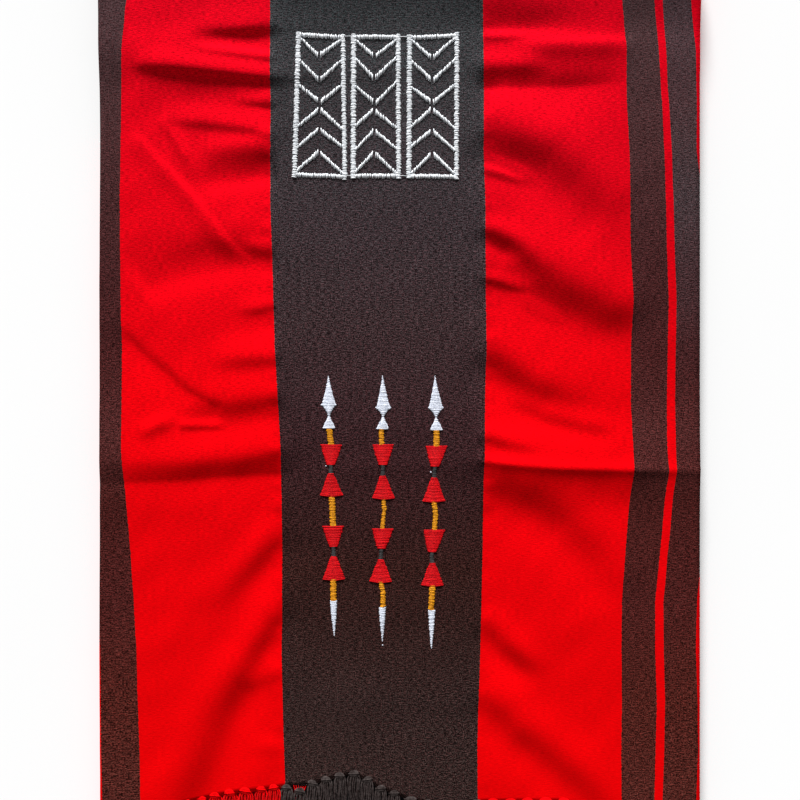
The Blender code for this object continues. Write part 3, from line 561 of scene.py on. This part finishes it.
def uneven(x, y):
    """Faint long waves in many directions."""
    draw = random.Random(UNEVEN_SEED)
    total = np.zeros(x.shape)
    for _ in range(UNEVEN_WAVES):
        wave = draw.uniform(UNEVEN_SHORTEST, UNEVEN_LONGEST)
        heading = draw.uniform(0, math.pi)
        phase = draw.uniform(0, 2 * math.pi)
        place = x * math.cos(heading) + y * math.sin(heading)
        total += UNEVEN_HEIGHT * np.sin(2 * math.pi * place / wave + phase)
    return total


def band_edge(name, y):
    """Where one edge of the bands runs, in metres, at places along the top layer."""
    places = [row.y * MM for row in BANDS]
    values = [getattr(row, name) * MM for row in BANDS]
    return np.interp(y, places, values)


def puckers(x, y):
    """Small gathers on the outer side of the centre band's two edges."""
    beat = sum(share * np.sin(2 * math.pi * y / wave + wave * PUCKER_PHASE)
               for wave, share in PUCKER_WAVES)
    total = np.zeros(x.shape)
    for name, outward in (("left_red", -1), ("centre", 1)):
        off = (x - band_edge(name, y)) * outward
        near = np.exp(-((off / PUCKER_REACH) ** 2)) * ease(off / PUCKER_START_RUN + 0.5)
        total += PUCKER_HEIGHT * beat * near
    return total


def relief(x, y):
    """The height of everything creased or uneven in the top layer, fading before the fold."""
    x, y = np.broadcast_arrays(np.asarray(x, float), np.asarray(y, float))
    rise = sum(crease_rise(crease, x / MM, y / MM) for crease in every_crease()) * MM
    fade = 1 - ease((y - RELIEF_STARTS_TO_END) / (RELIEF_ENDS - RELIEF_STARTS_TO_END))
    rise = np.maximum(rise, DEEPEST_TROUGH) + uneven(x, y) + puckers(x, y)
    return rise * fade


def layer_height(layer, y):
    """The height of the middle of a layer, without its creases."""
    top_share = ease((y - TOP_LIFT_FROM) / (TOP_LIFT_TO - TOP_LIFT_FROM))
    lower_share = ease((y - LOWER_LIFT_FROM) / (LOWER_LIFT_TO - LOWER_LIFT_FROM))
    lift = LIFT_AT_TOP_END[layer] * top_share + LIFT_AT_LOWER_END[layer] * lower_share
    return LAYER_MIDDLE[layer] + lift


def cloth_top(x, y):
    """The height of the top layer's upper surface."""
    return layer_height(0, y) + relief(x, y) + CLOTH_THICKNESS / 2


def fold_rows(y, upper_layer, outward):
    """Rows round the half circle that joins a layer to the next one down."""
    high = layer_height(upper_layer, y)
    low = layer_height(upper_layer + 1, y)
    radius = (high - low) / 2
    rows = []
    for step in range(1, FOLD_STEPS):
        angle = math.pi * step / FOLD_STEPS
        reach = y + outward * radius * math.sin(angle)
        rows.append((upper_layer + 0.5, reach, low + radius + radius * math.cos(angle)))
    return rows


def section_rows():
    """The cloth's section as (layer, y, z), from the upper hem to the lower one."""
    rows = [(0, UPPER_HEM, layer_height(0, UPPER_HEM))]
    last_layer = 0
    for stretch in SECTION:
        if stretch.layer != last_layer:
            outward = 1 if stretch.end < stretch.start else -1
            rows += fold_rows(stretch.start, last_layer, outward)
            rows.append((stretch.layer, stretch.start, layer_height(stretch.layer, stretch.start)))
            last_layer = stretch.layer
        for step in range(1, stretch.steps + 1):
            y = stretch.start + (stretch.end - stretch.start) * step / stretch.steps
            rows.append((stretch.layer, y, layer_height(stretch.layer, y)))
    return rows


def hem_pull(line, hem, x, y):
    """How far a wavy hem carries a point of its layer along Y."""
    share = 1 - ease((y - hem) / HEM_PULL_REACH)
    return read_table(line, x / MM, soft=False) * MM * share


def waver_at(y):
    """How far the left edge draws in at a place along the cloth."""
    return EDGE_WAVER * (1 + np.cos(2 * math.pi * y / EDGE_WAVE_LENGTH)) / 2


def column_shares():
    """The columns' places across the cloth, from 0 to 1."""
    places = []
    for (start, count), (end, _) in zip(COLUMN_STOPS, COLUMN_STOPS[1:]):
        places += [start + (end - start) * step / count for step in range(count)]
    places.append(COLUMN_STOPS[-1][0])
    return np.array(places) / (COLUMN_STOPS[-1][0] - COLUMN_STOPS[0][0]) + 0.5


def loom_place(x, y, shift):
    """Where a point sits across the loom, so that each band's edge is one number."""
    place = np.empty(x.shape)
    loom = [edge * MM for edge in LOOM_EDGES]
    loom = [loom[0] - PAST_EDGES, *loom, loom[-1] + PAST_EDGES]
    for row in range(x.shape[0]):
        edges = [float(band_edge(name, y[row, 0])) + shift[row] for name in BandRow._fields[1:]]
        place[row] = np.interp(x[row], [edges[0] - PAST_EDGES, *edges, edges[-1] + PAST_EDGES], loom)
    return place


def new_mesh(name, points, faces, looks, face_looks=None):
    """A smooth-shaded mesh object from points and faces."""
    mesh = bpy.data.meshes.new(name)
    mesh.from_pydata(np.asarray(points, float).tolist(), [], [list(face) for face in faces])
    for look in looks:
        mesh.materials.append(look)
    if face_looks is not None:
        mesh.polygons.foreach_set("material_index", np.asarray(face_looks, np.int32))
    mesh.polygons.foreach_set("use_smooth", np.ones(len(mesh.polygons), bool))
    mesh.update()
    made = bpy.data.objects.new(name, mesh)
    bpy.context.scene.collection.objects.link(made)
    return made


def add_uv(mesh, name, across, along):
    """A UV map with one pair of numbers for each vertex."""
    layer = mesh.uv_layers.new(name=name)
    corners = np.empty(len(mesh.loops), np.int32)
    mesh.loops.foreach_get("vertex_index", corners)
    pairs = np.stack([across.ravel()[corners], along.ravel()[corners]], axis=1)
    layer.data.foreach_set("uv", pairs.astype(np.float32).ravel())


def make_cloth(look):
    """The whole cloth as one thin sheet on the solid's folds, and its length when flat."""
    layer, y, z = [np.array(column)[:, None] for column in zip(*section_rows())]
    shares = column_shares()
    left = LEFT_EDGE_IN + waver_at(y) - CLOTH_WIDTH / 2
    x = left + shares[None, :] * (CLOTH_WIDTH / 2 - left)
    moved = y + np.where(layer == 0, hem_pull(UPPER_HEM_LINE, UPPER_HEM, x, y), 0.0)
    moved = moved + np.where(layer == 3, hem_pull(LOWER_HEM_LINE, LOWER_HEM, x, y), 0.0)
    height = z + np.where(layer == 0, relief(x, moved), 0.0)
    points = np.stack([x, moved, height], axis=2).reshape(-1, 3)
    index = np.arange(x.size).reshape(x.shape)
    faces = np.stack([index[:-1, 1:], index[1:, 1:], index[1:, :-1], index[:-1, :-1]], axis=2)
    cloth = new_mesh("shawl_sheet", points, faces.reshape(-1, 4), [look])
    steps = np.hypot(np.diff(y[:, 0]), np.diff(z[:, 0]))
    along = np.concatenate([[0.0], np.cumsum(steps)])[:, None] + np.zeros(x.shape)
    shift = np.where(layer[:, 0] > 0, read_table(LAYER_SHIFT, y[:, 0], soft=False) * MM, 0.0)
    add_uv(cloth.data, "bands", loom_place(x, moved, shift), along)
    thickness = cloth.modifiers.new("thickness", "SOLIDIFY")
    thickness.thickness = CLOTH_THICKNESS
    thickness.offset = 0.0
    thickness.use_even_offset = True
    return cloth, float(along[-1, 0])


def sections(centres, across, up, wide, high, sides):
    """Points of rings along many tubes at once.

    centres is (tubes, stations, 3). across and up are the two directions that a ring spans.
    wide and high are the half sizes, for each tube and station.
    """
    angles = 2 * math.pi * (np.arange(sides) + 0.5) / sides
    cos, sin = np.cos(angles), np.sin(angles)
    return (
        centres[:, :, None, :]
        + across[:, :, None, :] * (wide[:, :, None] * cos)[..., None]
        + up[:, :, None, :] * (high[:, :, None] * sin)[..., None]
    )


def tube_faces(tubes, stations, sides, first=0):
    """Faces of tubes made by sections(), each closed at both ends."""
    ring = np.arange(sides)
    turned = (ring + 1) % sides
    faces = []
    for tube in range(tubes):
        start = first + tube * stations * sides
        for station in range(stations - 1):
            low = start + station * sides
            high = low + sides
            faces += np.stack([low + ring, low + turned, high + turned, high + ring], axis=1).tolist()
        faces.append((start + ring[::-1]).tolist())
        faces.append((start + (stations - 1) * sides + ring).tolist())
    return faces


class Sewing:
    """Collects straight sewn threads, one list for each colour of thread."""

    def __init__(self):
        self.threads = {}
        self.draw = random.Random(SEWING_SEED)

    def thread(self, colour, start, end, sag=0.0, size=1.0):
        """One thread laid from start to end, in millimetres, its middle shifted along -Y by sag."""
        rag = STITCHES[colour].ragged
        start = [value + self.draw.uniform(-rag, rag) for value in start]
        end = [value + self.draw.uniform(-rag, rag) for value in end]
        size *= 1 + self.draw.uniform(-THREAD_SIZE_SPREAD, THREAD_SIZE_SPREAD)
        self.threads.setdefault(colour, []).append((*start, *end, sag, size))

    def bar(self, colour, start, end, width, upright=False):
        """A satin bar from start to end, its threads across it or, if upright, along Y."""
        run = np.array(end) - np.array(start)
        length = np.hypot(*run)
        across = np.array([-run[1], run[0]]) / length
        if upright:
            across = np.array([0.0, 1.0])
        count = int(length / STITCHES[colour].pitch)
        for number in range(count + 1):
            middle = np.array(start) + run * number / count
            self.thread(colour, middle - across * width / 2, middle + across * width / 2)

    def build(self, name, colours):
        """One mesh of all the threads of these colours."""
        counts = [len(self.threads[colour]) for colour in colours]
        data = np.array([row for colour in colours for row in self.threads[colour]])
        kinds = [STITCHES[colour] for colour in colours]
        radius = np.repeat([kind.radius * MM for kind in kinds], counts)[:, None]
        flatness = np.repeat([kind.flat for kind in kinds], counts)[:, None]
        start, end = data[:, 0:2] * MM, data[:, 2:4] * MM
        sag, size = data[:, 4:5] * MM, data[:, 5:6]
        run = end - start
        length = np.hypot(run[:, 0], run[:, 1])[:, None]
        heading = run / length
        near_end = np.minimum(THREAD_END_RUN / length, THREAD_END_SHARE)
        none = np.zeros(length.shape)
        share = np.concatenate([none, near_end, none + 0.5, 1 - near_end, none + 1], axis=1)
        bend = 4 * share * (1 - share)
        at_end = (bend == 0).astype(float)
        x = start[:, :1] + run[:, :1] * share
        y = start[:, 1:] + run[:, 1:] * share - sag * bend
        arch = THREAD_ARCH * np.minimum(length / THREAD_ARCH_LENGTH, THREAD_ARCH_MOST)
        z = cloth_top(x, y) + arch * bend**THREAD_ARCH_POWER - THREAD_END_DIP * at_end
        level = np.zeros(x.shape)
        across = np.stack([-heading[:, 1:] + level, heading[:, :1] + level, level], axis=2)
        up = np.stack([level, level, level + 1], axis=2)
        wide = radius * size * (1 - (1 - THREAD_END_SIZE) * at_end)
        centres = np.stack([x, y, z], axis=2)
        points = sections(centres, across, up, wide, wide * flatness, THREAD_SIDES)
        faces = tube_faces(len(data), THREAD_STATIONS, THREAD_SIDES)
        looks = [make_fibre_look(THREADS[colour], THREAD_KIND).material for colour in colours]
        face_looks = np.repeat(range(len(colours)), np.array(counts) * (len(faces) // len(data)))
        return new_mesh(name, points.reshape(-1, 3), faces, looks, face_looks)


def sew_panel(sewing):
    """The panel's three frames, the split chevrons inside them and the threads that link them."""
    for panel, arms in zip(PANEL_FRAMES, PANEL_ARMS):
        left_top, left_bottom = np.array(panel.left_top), np.array(panel.left_bottom)
        right_top, right_bottom = np.array(panel.right_top), np.array(panel.right_bottom)
        lift = np.array([0.0, PANEL_BAR_HEIGHT / 2])
        sewing.bar("panel", left_top, right_top, PANEL_BAR_HEIGHT, upright=True)
        sewing.bar("panel", left_bottom, right_bottom, PANEL_BAR_HEIGHT, upright=True)
        sewing.bar("panel", left_top + lift, left_bottom - lift, panel.left_width)
        sewing.bar("panel", right_top + lift, right_bottom - lift, panel.right_width)
        for row in arms:
            left_edge = (left_top, left_bottom, panel.left_width / 2)
            right_edge = (right_top, right_bottom, -panel.right_width / 2)
            sew_arm(sewing, left_edge, row.left, panel.middle_x - ARM_MIDDLE_GAP, row.left_inner)
            sew_arm(sewing, right_edge, row.right, panel.middle_x + ARM_MIDDLE_GAP, row.right_inner)
    for start, end in LINK_THREADS:
        sewing.thread("panel", start, end, size=LINK_THREAD_SIZE)


def sew_arm(sewing, edge, outer_y, inner_x, inner_y):
    """One arm of a chevron, of upright threads from the frame's bar to near the middle."""
    top, bottom, inward = edge
    share = (top[1] - outer_y) / (top[1] - bottom[1])
    outer_x = top[0] + share * (bottom[0] - top[0]) + inward
    count = int(abs(outer_x - inner_x) / STITCHES["panel"].pitch)
    for number in range(count + 1):
        place = number / count
        x = outer_x + (inner_x - outer_x) * place
        y = outer_y + (inner_y - outer_y) * place
        half = float(read_table(ARM_THICKNESS, place, soft=False)) / 2
        sewing.thread("panel", (x, y - half), (x, y + half))


def sew_spear(sewing, spear):
    """One spear, tip to tail, of level threads."""
    shafts = list(spear.shafts)
    for shape, start, end in zip(SPEAR_SHAPES, spear.heights, spear.heights[1:]):
        wide = shafts.pop(0) if shape is SHAFT else 1.0
        count = max(int((start - end) / STITCHES[shape.thread].pitch), 2)
        for number in range(count):
            share = (number + 0.5) / count
            y = start + (end - start) * share
            x = float(read_table(spear.path, y, soft=False))
            half = float(read_table(shape.half_widths, share, soft=False)) * wide
            sewing.thread(shape.thread, (x - half, y), (x + half, y), shape.sag * share)


class Yarn:
    """Collects closed tubes of yarn in two colours."""

    def __init__(self):
        self.points, self.faces, self.looks = [], [], []
        self.count = 0

    def tube(self, path, across, up, wide, high, sides, look):
        """One tube along a path. Its rings span the directions across and up."""
        stations = len(path)
        across, up = [np.broadcast_to(np.asarray(way, float), (1, stations, 3)) for way in (across, up)]
        wide, high = [np.broadcast_to(np.asarray(size, float), (1, stations)) for size in (wide, high)]
        ring = sections(path[None], across, up, wide, high, sides).reshape(-1, 3)
        made = tube_faces(1, stations, sides, self.count)
        self.points.append(ring)
        self.faces += made
        self.looks += [look] * len(made)
        self.count += len(ring)

    def build(self, name, looks):
        """One mesh of everything collected."""
        return new_mesh(name, np.concatenate(self.points), self.faces, looks, self.looks)


def strand_x(number):
    """The middle of a strand, in metres."""
    return float(read_table(STRAND_PLACES, number, soft=False)) * MM


def rounded(stations, power, least):
    """A tube's size along its length: small at both ends and full between them."""
    share = np.linspace(0, 1, stations)
    return np.sqrt(np.maximum(1 - (2 * share - 1) ** power, least))


def is_red_at(x, shift):
    """Whether the warp is red at a place along a hem whose bands are shifted to the right."""
    hem = BANDS[0]
    place = x / MM - shift
    return hem.left_black < place < hem.left_red or hem.centre < place < hem.right_red


def add_roots(yarn, start, knot, knot_half, half_width, look):
    """The warp threads that run from inside the hem, at start, into a knot."""
    share = np.linspace(0, 1, ROOT_STATIONS)
    x, y, z = start
    for number in range(ROOT_YARNS):
        place = number / (ROOT_YARNS - 1) * 2 - 1
        xs = x + place * (half_width + (knot_half * GATHERED_SHARE - half_width) * ease(share))
        ys = y + ROOT_INSIDE + (knot[1] - y - ROOT_INSIDE) * share
        zs = z + ROOT_LIFT + (knot[2] - z - ROOT_LIFT) * ease(share)
        path = np.stack([xs, ys, zs], axis=1)
        yarn.tube(path, ACROSS, UP, ROOT_YARN_RADIUS, ROOT_YARN_RADIUS, YARN_SIDES, look)


def add_knot(yarn, middle, knot_half, tilt, look):
    """One overhand knot: a round body with a turn of yarn laid over it."""
    share = np.linspace(0, 1, KNOT_STATIONS)
    path = np.tile(middle, (KNOT_STATIONS, 1))
    path[:, 1] += KNOT_HALF_LENGTH * (1 - 2 * share)
    body = rounded(KNOT_STATIONS, *KNOT_ROUNDNESS)
    yarn.tube(path, ACROSS, UP, knot_half * body, KNOT_HALF_HEIGHT * body, KNOT_SIDES, look)
    turn = np.linspace(0, 1, WRAP_STATIONS)
    xs = middle[0] - knot_half * np.cos(math.pi * turn)
    ys = middle[1] + tilt * (turn - 0.5)
    zs = middle[2] + KNOT_HALF_HEIGHT * WRAP_HEIGHT_SHARE * np.sin(math.pi * turn)
    add_wrap(yarn, np.stack([xs, ys, zs], axis=1), look)


def add_wrap(yarn, path, look):
    """A yarn that runs mostly across X, so its rings stand across its own path."""
    tangent = np.gradient(path, axis=0)
    tangent /= np.linalg.norm(tangent, axis=1)[:, None]
    first = np.cross(tangent, ALONG)
    first /= np.linalg.norm(first, axis=1)[:, None]
    size = WRAP_RADIUS * rounded(len(path), *WRAP_ROUNDNESS)
    yarn.tube(path, first, np.cross(tangent, first), size, size, WRAP_SIDES, look)


def add_tassel(yarn, centre_at, start, length, knot_half, widest, look, draw):
    """Loose yarns that fan out below a knot and run on to the tip."""
    widths = ((start, knot_half * GATHERED_SHARE), (start + TASSEL_WIDEST_AT, widest),
              (TASSEL_GATHERED_AT, TASSEL_REST_HALF_WIDTH), (length, TASSEL_TIP_HALF_WIDTH))
    for number in range(TASSEL_YARNS):
        place = number / (TASSEL_YARNS - 1) * 2 - 1
        end = length - TASSEL_RAGGED * draw.uniform(0, 1)
        along = start + (end - start) * np.linspace(0, 1, TASSEL_STATIONS) ** TASSEL_STATION_POWER
        loose = ease((along - start) / TASSEL_WIDEST_AT)
        wave = 2 * math.pi * along / draw.uniform(*TASSEL_WAVE_LENGTHS)
        wave += draw.uniform(0, TASSEL_PHASE_RANGE)
        path = centre_at(along)
        path[:, 0] += place * read_table(widths, along) + TASSEL_WANDER * np.sin(wave) * loose
        path[:, 2] += TASSEL_ROW_RISE * (number % 2 - 0.5) * loose
        size = np.full(TASSEL_STATIONS, TASSEL_YARN_RADIUS * draw.uniform(*TASSEL_YARN_SIZES))
        size[-1] *= TASSEL_TIP_SIZE
        yarn.tube(path, ACROSS, UP, size, size, YARN_SIDES, look)


def strand_path(x, hem_y, top_z, rest_z, phase, sway):
    """The function that gives the middle of one strand at distances along it from the hem."""

    def centre_at(along):
        settled = ease(along / DROP_LENGTH)
        swing = np.sin(phase + 2 * math.pi * along / SWAY_WAVE_LENGTH) - math.sin(phase)
        y = hem_y - along
        z = top_z + (rest_z(y) - top_z) * settled
        return np.stack([x + sway * swing * settled, y, z], axis=1)

    return centre_at


def half_room(number):
    """Half the distance from a strand to the nearer strand beside it."""
    sides = [abs(strand_x(beside) - strand_x(number))
             for beside in (number - 1, number + 1) if 0 <= beside < STRANDS]
    return min(sides) / 2


def make_fringe(name, looks, hem, line, start_z, rest_z, length_of, shift, seed):
    """One fringe: for each strand its root threads, its knot and its tassel."""
    draw = random.Random(seed)
    detail = random.Random(seed + DETAIL_SEED_STEP)
    yarn = Yarn()
    for number in range(STRANDS):
        x = strand_x(number)
        hem_y = hem + float(hem_pull(line, hem, x, hem))
        length = length_of(number, hem_y, draw)
        phase = draw.uniform(0, 2 * math.pi)
        sway = SWAY * draw.uniform(*SWAY_SHARES)
        top_z = start_z(x, hem_y)
        centre_at = strand_path(x, hem_y, top_z, rest_z, phase, sway)
        look = 0 if is_red_at(x, shift) else 1
        knot_along = KNOT_BELOW_HEM + KNOT_LOWER_AT.get(number, 0.0)
        knot = centre_at(np.array([knot_along]))[0] + np.array([0.0, 0.0, KNOT_LIFT])
        knot_half = half_room(number) * KNOT_WIDTH_SHARE
        widest = half_room(number) - TASSEL_GAP
        root_look = 0 if number in RED_ROOTS_AT else look
        add_roots(yarn, (x, hem_y, top_z), knot, knot_half, widest, root_look)
        add_knot(yarn, knot, knot_half, detail.uniform(-KNOT_TILT, KNOT_TILT), look)
        add_tassel(yarn, centre_at, knot_along, length, knot_half, widest, look, detail)
    return yarn.build(name, looks)


def make_upper_fringe(looks):
    """The fringe at the hem that shows. It lies on the layer below."""

    def start_z(x, y):
        return float(layer_height(0, UPPER_HEM) + relief(x, y))

    def rest_z(y):
        return layer_height(1, y) + CLOTH_THICKNESS / 2 + TASSEL_REST_HEIGHT

    def length_of(number, hem_y, draw):
        return UPPER_STRAND_LENGTH - draw.uniform(0, LENGTH_SPREAD)

    return make_fringe("upper_fringe", looks, UPPER_HEM, UPPER_HEM_LINE, start_z, rest_z, length_of,
                       0.0, UPPER_FRINGE_SEED)


def make_lower_fringe(looks):
    """The fringe at the hidden hem. It lies on the surface under the shawl."""

    def start_z(x, y):
        return LOWER_KNOT_HEIGHT

    def rest_z(y):
        return TASSEL_REST_HEIGHT

    def length_of(number, hem_y, draw):
        shorter = draw.uniform(0, LENGTH_SPREAD) if number % LONGEST_STRAND_EVERY else 0.0
        return hem_y - LOWEST_POINT_Y - shorter

    return make_fringe("lower_fringe", looks, LOWER_HEM, LOWER_HEM_LINE, start_z, rest_z, length_of,
                       LAYER_SHIFT[0][1], LOWER_FRINGE_SEED)


class Value:
    """A number or colour that differs over a surface. Its arithmetic adds the nodes that do it."""

    def __init__(self, look, socket):
        self.look, self.socket = look, socket

    def __add__(self, other):
        return self.look.math("ADD", self, other)

    def __sub__(self, other):
        return self.look.math("SUBTRACT", self, other)

    def __rsub__(self, other):
        return self.look.math("SUBTRACT", other, self)

    def __mul__(self, other):
        return self.look.math("MULTIPLY", self, other)

    def __pow__(self, other):
        return self.look.math("POWER", self, other)

    def __gt__(self, other):
        """1 where it is greater, and 0 elsewhere."""
        return self.look.math("GREATER_THAN", self, other)


class Look:
    """A small helper that builds one material's nodes."""

    def __init__(self, name, roughness, specular):
        self.material = bpy.data.materials.new(name)
        self.material.use_nodes = True
        self.nodes = self.material.node_tree.nodes
        self.links = self.material.node_tree.links
        self.shader = self.nodes["Principled BSDF"]
        self.shader.inputs["Roughness"].default_value = roughness
        self.shader.inputs["Specular IOR Level"].default_value = specular

    def node(self, kind, inputs, output=0):
        """A new node and one of its outputs as a Value. Inputs are by number or name."""
        made = self.nodes.new("ShaderNode" + kind)
        for key, value in inputs.items():
            self.put(made.inputs[key], value)
        return made, Value(self, made.outputs[output])

    def put(self, socket, value):
        """Gives a socket a fixed value, or the link that brings a Value."""
        if isinstance(value, Value):
            self.links.new(value.socket, socket)
        else:
            socket.default_value = value

    def math(self, operation, a, b, clamp=False):
        made, value = self.node("Math", {0: a, 1: b})
        made.operation = operation
        made.use_clamp = clamp
        return value

    def uv(self, name):
        """The two numbers of a UV map."""
        made, pair = self.node("UVMap", {})
        made.uv_map = name
        parts, across = self.node("SeparateXYZ", {0: pair})
        return across, Value(self, parts.outputs[1])

    def object_place(self):
        return self.node("TexCoord", {}, "Object")[1]

    def noise(self, vector, scale, detail):
        return self.node("TexNoise", {"Vector": vector, "Scale": scale, "Detail": detail}, "Fac")[1]

    def ramp(self, value, stops):
        """A colour ramp: stops are (place, colour)."""
        made, colour = self.node("ValToRGB", {0: value})
        elements = made.color_ramp.elements
        while len(elements) < len(stops):
            elements.new(0.5)
        for element, (place, stop_colour) in zip(elements, stops):
            element.position = place
            element.color = (*stop_colour, 1)
        return colour

    def mix(self, share, a, b, blend="MIX"):
        made = self.nodes.new("ShaderNodeMix")
        made.data_type = "RGBA"
        made.blend_type = blend
        for number, value in zip(MIX_INPUTS, (share, a, b)):
            self.put(made.inputs[number], value)
        return Value(self, made.outputs[MIX_OUTPUT])

    def tinted(self, colour, tint):
        """One colour multiplied by another, or by a number for all three of its parts."""
        return self.mix(1, colour, tint, "MULTIPLY")

    def shaded(self, colour, grain):
        """The same colour, lighter and darker by a factor."""
        return self.tinted(colour, self.node("CombineXYZ", {0: grain, 1: grain, 2: grain})[1])

    def colour(self, value):
        self.put(self.shader.inputs["Base Color"], value)

    def bump(self, height, distance, strength):
        inputs = {"Strength": strength, "Distance": distance, "Height": height}
        self.put(self.shader.inputs["Normal"], self.node("Bump", inputs)[1])


def band_masks(across):
    """1 inside the red bands, and 1 inside the side bands, from the place across the loom."""
    past = [across > edge * MM for edge in LOOM_EDGES]
    sliver, left_black, left_red, centre, right_red, right_black, stripe, outer = past
    is_red = 1 - sliver + left_black - left_red + centre - right_red + right_black - stripe + outer
    is_side = sliver - left_black + right_red - right_black + stripe - outer
    return is_red, is_side


def make_cloth_look():
    """The woven cloth: bands, grain, dashes of weft, and painted sheen and shade that change slowly along
    its length.
    """
    look = Look("woven_cloth", CLOTH_ROUGHNESS, FAINT_GLOSS)
    across, along = look.uv("bands")

    def pattern(name):
        """Noise about 0, drawn out along the threads."""
        found = CLOTH_PATTERNS[name]
        place = look.node("CombineXYZ", {0: across * found.across, 1: along * found.along})[1]
        return look.noise(place, 1, found.detail) - 0.5

    grain, dashes, broad = pattern("grain"), pattern("dashes"), pattern("broad")
    tint = pattern("tints") + 0.5
    is_red, is_side = band_masks(across + pattern("tremble") * EDGE_TREMBLE)
    way = look.math("DIVIDE", along, CHANGE_LENGTH, clamp=True)
    # Painted sheen along the cloth in every band, and painted shade in part of the right red band.
    red = look.ramp(way, RED_WITH_PAINTED_SHEEN)
    red = look.mix(across > 0, red, look.tinted(red, look.ramp(way, RIGHT_RED_PAINTED_SHADE)))
    centre = look.tinted(look.ramp(way, CENTRE_WITH_PAINTED_SHEEN), look.ramp(tint, CENTRE_TINTS))
    side = look.tinted(look.ramp(way, SIDE_WITH_PAINTED_SHEEN), look.ramp(tint, SIDE_TINTS))
    side = look.mix(across > OUTER_BAND_FROM, side, look.tinted(side, look.ramp(way, OUTER_PAINTED_SHEEN)))
    dark = look.mix(is_side, centre, side)
    sparkle = grain * DARK_GRAIN.grain + dashes * DARK_GRAIN.dashes
    sparkle = sparkle * (1 - way ** CALM_POWER * CALM_BY_TOP) * (1 - is_side * SIDE_CALM)
    sparkle = look.math("MAXIMUM", sparkle + broad * DARK_GRAIN.broad + 1, DARKEST_SPARK)
    mild = grain * RED_GRAIN.grain + dashes * RED_GRAIN.dashes
    mild = mild * (way * RED_GRAIN_GROWS + RED_GRAIN_AT_HEM) + broad * RED_GRAIN.broad + 1
    look.colour(look.mix(is_red, look.shaded(dark, sparkle), look.shaded(red, mild)))
    look.bump(grain + dashes * BUMP_DASHES, *CLOTH_BUMP)
    return look.material


def make_fibre_look(fibre, kind):
    """Thread or yarn: fine changes from strand to strand, and fibres along it."""
    look = Look(fibre.name, fibre.roughness, fibre.gloss)
    place = look.object_place()
    change = look.noise(place, kind.change, kind.detail)
    look.colour(look.ramp(change, [(kind.dark_below, fibre.dark), (kind.full_above, fibre.colour)]))
    look.bump(look.noise(place, kind.fibres, kind.detail), kind.bump_distance, kind.bump_strength)
    return look


def make_yarn_look(fibre):
    """Fringe yarn, which has a faint sheen."""
    look = make_fibre_look(fibre, YARN_KIND)
    look.shader.inputs["Sheen Weight"].default_value = YARN_SHEEN
    look.shader.inputs["Sheen Roughness"].default_value = YARN_SHEEN_ROUGHNESS
    look.shader.inputs["Sheen Tint"].default_value = YARN_SHEEN_TINT
    return look.material


def make_floor():
    """A plain pale floor."""
    half = FLOOR_SIDE / 2
    look = Look("pale_floor", FLOOR_ROUGHNESS, FAINT_GLOSS)
    look.colour(look.ramp(look.noise(look.object_place(), *FLOOR_NOISE), FLOOR_COLOURS))
    corners = [(-half, -half, 0), (half, -half, 0), (half, half, 0), (-half, half, 0)]
    floor = new_mesh("floor", corners, [(0, 1, 2, 3)], [look.material])
    return floor


def make_light():
    """One large soft key light low from the top of the view, and an even fill all round."""
    elevation = math.radians(KEY_ELEVATION)
    side = math.radians(KEY_FROM_SIDE)
    key = bpy.data.lights.new("key", "SUN")
    key.energy = (FULL_LIGHT - FILL_LIGHT) * math.pi / math.sin(elevation)
    key.angle = math.radians(KEY_ANGLE)
    lamp = bpy.data.objects.new("key", key)
    level = math.cos(elevation)
    towards = Vector((math.sin(side) * level, math.cos(side) * level, math.sin(elevation)))
    lamp.rotation_euler = towards.to_track_quat("Z", "Y").to_euler()
    bpy.context.scene.collection.objects.link(lamp)
    world = bpy.data.worlds.new("fill")
    world.use_nodes = True
    background = world.node_tree.nodes["Background"]
    background.inputs["Color"].default_value = (1, 1, 1, 1)
    background.inputs["Strength"].default_value = FILL_LIGHT
    bpy.context.scene.world = world


def make_camera():
    """A camera straight above, with the photograph's top towards +Y."""
    data = bpy.data.cameras.new("camera")
    data.lens = LENS_MM
    data.sensor_width = SENSOR_MM
    camera = bpy.data.objects.new("camera", data)
    distance = VIEW_WIDTH * LENS_MM / SENSOR_MM
    camera.location = (*VIEW_MIDDLE, VIEW_SURFACE + distance)
    bpy.context.scene.collection.objects.link(camera)
    bpy.context.scene.camera = camera


def make_sewing():
    """The sewn panel and the sewn spears."""
    sewing = Sewing()
    sew_panel(sewing)
    for spear in SPEARS:
        sew_spear(sewing, spear)
    for x, y, half in STRAY_STITCHES:
        sewing.thread("white", (x - half, y), (x + half, y))
    panel = sewing.build("sewn_panel", ["panel"])
    return panel, sewing.build("sewn_spears", ["white", "yellow", "red", "grey"])


def main():
    bpy.context.scene.view_settings.view_transform = "Standard"
    make_camera()
    make_light()
    floor = make_floor()
    cloth, flat_length = make_cloth(make_cloth_look())
    panel, spears = make_sewing()
    yarns = [make_yarn_look(fibre) for fibre in (RED_YARN, DARK_YARN)]
    upper = make_upper_fringe(yarns)
    lower = make_lower_fringe(yarns)
    for piece in (cloth, panel, spears, upper, lower):
        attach(piece, "root")
    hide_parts("shawl_cloth")
    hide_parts("fringe_upper")
    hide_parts("fringe_lower")


main()
